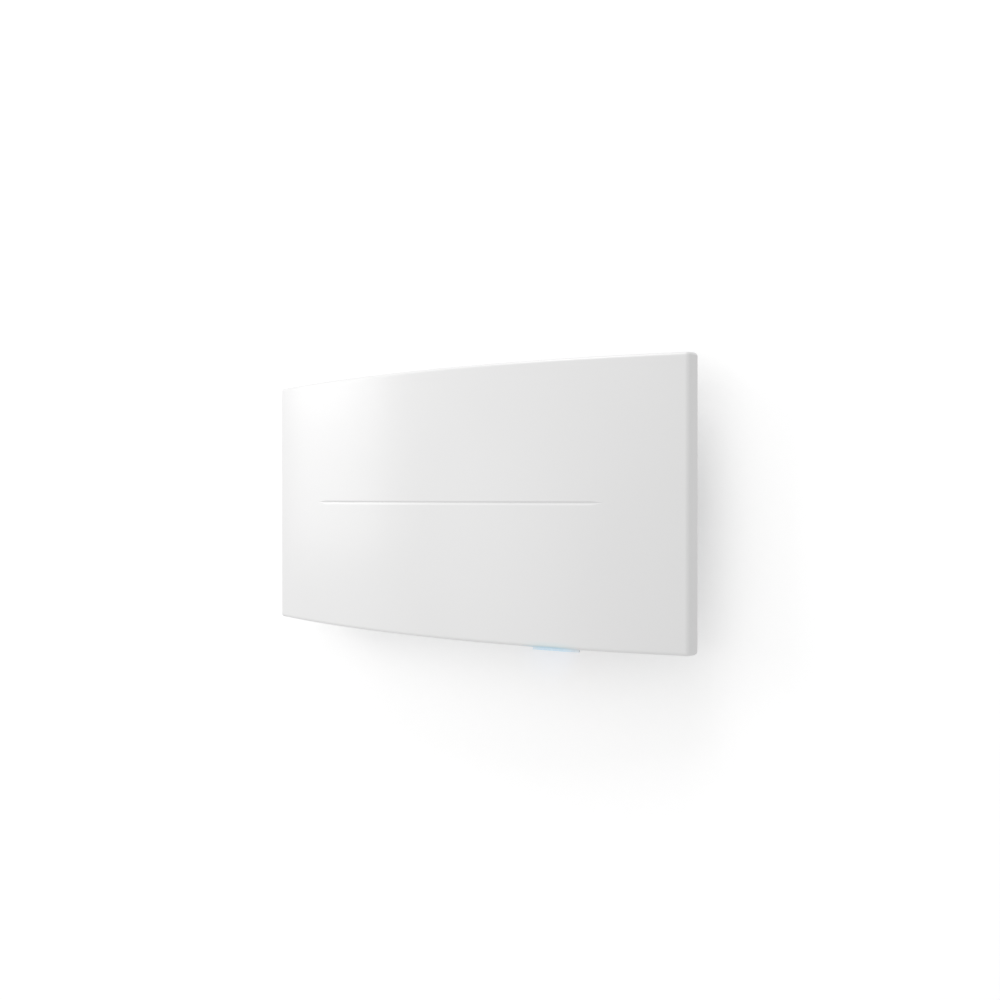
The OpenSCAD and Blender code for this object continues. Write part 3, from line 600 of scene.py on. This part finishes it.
def box_cutter(name, lo, hi, r=0.0, axis=2):
    """A cutter block, its edges along one axis rounded."""
    bm = bmesh.new()
    c = [(a + b) / 2 for a, b in zip(lo, hi)]
    h = [(b - a) / 2 for a, b in zip(lo, hi)]
    u, v = [i for i in range(3) if i != axis]
    outline = rounded_outline(h[u], h[v], max(r, 1e-5), 6 if r else 1)
    layers = []
    for end in (-1, 1):
        vs = []
        for a, b in outline:
            p = [0, 0, 0]
            p[u], p[v], p[axis] = c[u] + a, c[v] + b, c[axis] + end * h[axis]
            vs.append(bm.verts.new(p))
        layers.append(vs)
    n = len(outline)
    bm.faces.new(list(reversed(layers[0])))
    bm.faces.new(layers[1])
    for k in range(n):
        bm.faces.new((layers[0][k], layers[0][(k + 1) % n], layers[1][(k + 1) % n], layers[1][k]))
    bmesh.ops.remove_doubles(bm, verts=bm.verts, dist=1e-7)
    bmesh.ops.recalc_face_normals(bm, faces=bm.faces)
    me = bpy.data.meshes.new(name)
    bm.to_mesh(me)
    bm.free()
    o = bpy.data.objects.new(name, me)
    bpy.context.scene.collection.objects.link(o)
    return o


def sector_cutter(name, x0, x1, near, far, z0, z1, n=18):
    """A cutter that follows the bow between x0 and x1, from near to far behind the skin."""
    bm = bmesh.new()
    a0, a1 = math.asin(x0 / R), math.asin(x1 / R)
    loops = []
    for i in range(n + 1):
        a = a0 + (a1 - a0) * i / n
        loop = []
        for d, z in ((near, z0), (far, z0), (far, z1), (near, z1)):
            r = R - d
            loop.append(bm.verts.new((r * math.sin(a), AXIS_Y - r * math.cos(a), z)))
        loops.append(loop)
    for a, b in zip(loops, loops[1:]):
        for k in range(4):
            bm.faces.new((a[k], a[(k + 1) % 4], b[(k + 1) % 4], b[k]))
    bm.faces.new(loops[0])
    bm.faces.new(list(reversed(loops[-1])))
    bmesh.ops.recalc_face_normals(bm, faces=bm.faces)
    me = bpy.data.meshes.new(name)
    bm.to_mesh(me)
    bm.free()
    o = bpy.data.objects.new(name, me)
    bpy.context.scene.collection.objects.link(o)
    return o


def cut(o, cutters):
    for c in cutters:
        mod = o.modifiers.new("cut", "BOOLEAN")
        mod.operation = "DIFFERENCE"
        mod.object = c
        mod.solver = "EXACT"
    dg = bpy.context.evaluated_depsgraph_get()
    me = bpy.data.meshes.new_from_object(o.evaluated_get(dg))
    o.modifiers.clear()
    old = o.data
    o.data = me
    bpy.data.meshes.remove(old)
    for c in cutters:
        bpy.data.objects.remove(c)


def soften_cuts(o, width, angle=55.0):
    mod = o.modifiers.new("edge", "BEVEL")
    mod.width = width
    mod.segments = 2
    mod.limit_method = "ANGLE"
    mod.angle_limit = math.radians(angle)
    dg = bpy.context.evaluated_depsgraph_get()
    me = bpy.data.meshes.new_from_object(o.evaluated_get(dg))
    o.modifiers.clear()
    old = o.data
    o.data = me
    bpy.data.meshes.remove(old)


def rib_solid(bm, loops):
    """Join a row of closed loops into one closed solid."""
    rows = [[bm.verts.new(p) for p in loop] for loop in loops]
    n = len(rows[0])
    faces = []
    for a, b in zip(rows, rows[1:]):
        for k in range(n):
            faces.append(bm.faces.new((a[k], a[(k + 1) % n], b[(k + 1) % n], b[k])))
    faces.append(bm.faces.new(list(reversed(rows[0]))))
    faces.append(bm.faces.new(rows[-1]))
    bmesh.ops.recalc_face_normals(bm, faces=faces)


def rib_section(half, root, tip, fillet=0.0016, n=4):
    """Half-profile pairs (sideways, depth) of a moulded rib: a fillet at its root and a round tip."""
    side = [(half + fillet * (1 - math.sin(math.pi / 2 * i / n)), root + fillet * (1 - math.cos(math.pi / 2 * i / n))) for i in range(n + 1)]
    side[0] = (half + fillet, root - 0.0008)
    r = half * 0.8
    side += [(half - r * (1 - math.cos(math.pi / 2 * i / n)), tip - r * (1 - math.sin(math.pi / 2 * i / n))) for i in range(n + 1)]
    return side + [(-a, d) for a, d in reversed(side)]


def cover_ribs():
    """The ribs and pin bosses inside the cover."""
    bm = bmesh.new()
    end = HH - FLARE - SKIN + 0.0008
    for x in (-0.320, -0.160, 0.0, 0.160, 0.320):
        prof = rib_section(0.001, SKIN, 0.011)
        loops = []
        for i in range(25):
            z = -end + 2 * end * i / 24
            loops.append([(x + a, skin_y(x + a) + d, z) for a, d in prof])
        rib_solid(bm, loops)
    side = math.asin((HW - FLARE - SKIN + 0.0008) / R)
    for z in (-0.130, 0.130):
        prof = rib_section(0.001, SKIN, 0.0102)
        loops = []
        for i in range(97):
            a = -side + 2 * side * i / 96
            loops.append([((R - d) * math.sin(a), AXIS_Y - (R - d) * math.cos(a), z + w) for w, d in prof])
        rib_solid(bm, loops)
    for sx in (-1, 1):
        for sz in (-1, 1):
            x, z = sx * 0.455, sz * 0.180
            turn = [2 * math.pi * k / 48 for k in range(48)]
            loops = [[(x + r * math.cos(t), skin_y(x + r * math.cos(t)) + d, z + r * math.sin(t)) for t in turn]
                     for r, d in ((0.0105, 0.0018), (0.0102, 0.0034), (0.0096, 0.0041), (0.0091, 0.0050), (0.009, 0.0058))]
            loops += [[(x + r * math.cos(t), y, z + r * math.sin(t)) for t in turn]
                      for r, y in ((0.009, -0.1188), (0.00877, -0.11823), (0.0082, -0.118))]
            rib_solid(bm, loops)
    o = make_object("cover_ribs", bm, "cover", "cover_plastic", 35)
    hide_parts("front_cover")
    return o


WINDOWS = [(-0.190, 1), (0.190, 1), (-0.215, -1), (0.025, -1)]


def build_cover():
    bm = bmesh.new()
    base, place, ring, face = cover_skin(bm, 0.0, True)
    lip = 0.0008
    outer = walls(bm, base, place, ring, face, [(0.0, RIM_Y - lip), (lip * 0.134, RIM_Y - lip * 0.5), (lip * 0.5, RIM_Y - lip * 0.134), (lip, RIM_Y)])
    base2, place2, ring2, face2 = cover_skin(bm, SKIN, False)
    inner = walls(bm, base2, place2, ring2, face2, [(SKIN, RIM_Y - lip), (SKIN - lip * 0.134, RIM_Y - lip * 0.5), (SKIN - lip * 0.5, RIM_Y - lip * 0.134), (SKIN - lip, RIM_Y)])
    n = len(outer)
    for k in range(n):
        k2 = (k + 1) % n
        bm.faces.new((outer[k], inner[k], inner[k2], outer[k2]))
    bmesh.ops.remove_doubles(bm, verts=bm.verts, dist=1e-7)
    bmesh.ops.recalc_face_normals(bm, faces=bm.faces)
    o = make_object("cover_shell", bm, "cover", "cover_plastic")
    cutters = [
        box_cutter("c0", (0.160, RIM_Y - 0.024, -HH - 0.006), (0.410, RIM_Y + 0.020, -HH + 0.006), 0.010, 2),
        sector_cutter("c1", 0.203, 0.293, 0.004, 0.013, -HH - 0.002, -HH + 0.010),
    ]
    for x, s in WINDOWS:
        cutters.append(box_cutter("w", (x - 0.110, -0.113, s * HH - 0.006), (x + 0.110, -0.087, s * HH + 0.006), 0.0, 2))
    cut(o, cutters)
    soften_cuts(o, 0.0004)
    o.data.polygons.foreach_set("use_smooth", [True] * len(o.data.polygons))
    o.data.set_sharp_from_angle(angle=math.radians(28))
    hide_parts("front_cover")
    return o


cover = build_cover()
ribs = cover_ribs()

# every other piece: the CAD solid with its edges rounded
BROKEN_EDGE = {
    "rear_chassis": 0.0005, "enclosure_lid": 0.0005, "wiring_cover": 0.0005, "hanging_rail": 0.0005,
    "bracket_hook_rail": 0.0006, "bracket_lower_rail": 0.0006, "bracket_uprights": 0.0006,
    "standoff_pads": 0.001, "cover_brackets": 0.0005, "handle_mounts": 0.0005, "module_rails": 0.0005,
    "module_side_plates": 0.0005, "module_end_plates": 0.0006, "power_modules": 0.0008, "contactors": 0.0006,
    "dc_switch_body": 0.0007, "dc_switch_knob": 0.0006, "terminal_block": 0.0005, "pressure_vent": 0.0004,
    "conduit_hub_power": 0.0003, "conduit_hub_data": 0.0003, "light_pipe": 0.0005, "vent_grilles": 0.0003,
    "cells_upper": 0.0008, "cells_middle": 0.0008, "cells_lower": 0.0008,
}
for name in list(NODES):
    if name != "front_cover":
        refine(name, BROKEN_EDGE.get(name, 0.00025))

# ---------------------------------------------------------------- stage, lights, camera

def flat(name, size, loc, rot, mat):
    bm = bmesh.new()
    bmesh.ops.create_grid(bm, x_segments=1, y_segments=1, size=size)
    me = bpy.data.meshes.new(name)
    bm.to_mesh(me)
    bm.free()
    o = bpy.data.objects.new(name, me)
    o.location, o.rotation_euler = loc, rot
    bpy.context.scene.collection.objects.link(o)
    me.materials.append(mat)
    return o


def stage_material(name, color, glow, one_sided):
    m, nt, b = new_material(name)
    b.inputs["Base Color"].default_value = (*color, 1)
    b.inputs["Roughness"].default_value = 0.9
    b.inputs["Specular IOR Level"].default_value = 0.0
    b.inputs["Emission Color"].default_value = (1, 1, 1, 1)
    b.inputs["Emission Strength"].default_value = glow
    if one_sided:
        out = next(n for n in nt.nodes if n.type == "OUTPUT_MATERIAL")
        g = add(nt, "ShaderNodeNewGeometry")
        tr = add(nt, "ShaderNodeBsdfTransparent")
        mx = add(nt, "ShaderNodeMixShader")
        nt.links.new(g.outputs["Backfacing"], mx.inputs[0])
        nt.links.new(b.outputs[0], mx.inputs[1])
        nt.links.new(tr.outputs[0], mx.inputs[2])
        nt.links.new(mx.outputs[0], out.inputs["Surface"])
    return m


wall = flat("wall", 6.0, (0, 0.0006, 0), (math.radians(90), 0, 0), stage_material("wall_paint", (0.90, 0.90, 0.90), 0.282, True))
wall.visible_shadow = False
wall.visible_diffuse = False
wall.visible_glossy = False
wall.visible_transmission = False
floor = flat("floor", 14.0, (0, 0, -1.9), (0, 0, 0), stage_material("floor_paint", (0.86, 0.86, 0.86), 0.0, False))


def area(name, loc, target, size, power, color=(1, 1, 1), roll=0.0, size_y=None, spread=180.0):
    d = bpy.data.lights.new(name, "AREA")
    d.energy = power
    d.color = color
    d.shape = "RECTANGLE"
    d.size = size
    d.size_y = size_y or size
    d.spread = math.radians(spread)
    o = bpy.data.objects.new(name, d)
    o.location = loc
    direction = Vector(target) - Vector(loc)
    q = direction.to_track_quat("-Z", "Y")
    o.rotation_euler = (q.to_matrix() @ Matrix.Rotation(math.radians(roll), 3, "Z")).to_euler()
    bpy.context.scene.collection.objects.link(o)
    return o


world = bpy.data.worlds.new("studio")
world.use_nodes = True
bg = world.node_tree.nodes["Background"]
bg.inputs["Color"].default_value = (1, 1, 1, 1)
bg.inputs["Strength"].default_value = 0.656
bpy.context.scene.world = world



def softbox(name, az, el, size, power, size_y=None):
    """A soft area light 3.2 m from the unit, at an angle round from the front and up."""
    a, e = math.radians(az), math.radians(el)
    aim = Vector((0.0, -0.1, 0.0))
    pos = aim + 3.2 * Vector((math.sin(a) * math.cos(e), -math.cos(a) * math.cos(e), math.sin(e)))
    return area(name, pos, aim, size, power, size_y=size_y)


softbox("left_high", -60, 22, 1.5, 10.9)
softbox("left_low", -60, 8, 1.5, 11.8)
softbox("top_left", -15, 66, 1.5, 15.3)
softbox("top_right", 15, 66, 1.5, 19.2)
softbox("front_fill", -15, -8, 1.5, 3.9)


def spot(name, loc, target, power, color, angle, blend=1.0, radius=0.01):
    d = bpy.data.lights.new(name, "SPOT")
    d.energy = power
    d.color = color
    d.spot_size = math.radians(angle)
    d.spot_blend = blend
    d.shadow_soft_size = radius
    o = bpy.data.objects.new(name, d)
    o.location = loc
    o.rotation_euler = (Vector(target) - Vector(loc)).to_track_quat("-Z", "Y").to_euler()
    bpy.context.scene.collection.objects.link(o)
    return o


spot("status_wash", (0.215, -0.13, -0.287), (0.165, 0.0, -0.305), 0.05, (0.15, 0.5, 1.0), 60.0)

cam_data = bpy.data.cameras.new("camera")
cam_data.sensor_width = 36.0
cam_data.lens = 27.2
cam = bpy.data.objects.new("camera", cam_data)
cam.location = (0.8238, -1.4557, 0.0108)
cam.rotation_euler = (math.radians(90 - 0.151), 0, math.radians(28.294))
bpy.context.scene.collection.objects.link(cam)
bpy.context.scene.camera = cam

vs = bpy.context.scene.view_settings
vs.view_transform = "Standard"
vs.look = "None"
vs.exposure = 0.0
vs.gamma = 1.0
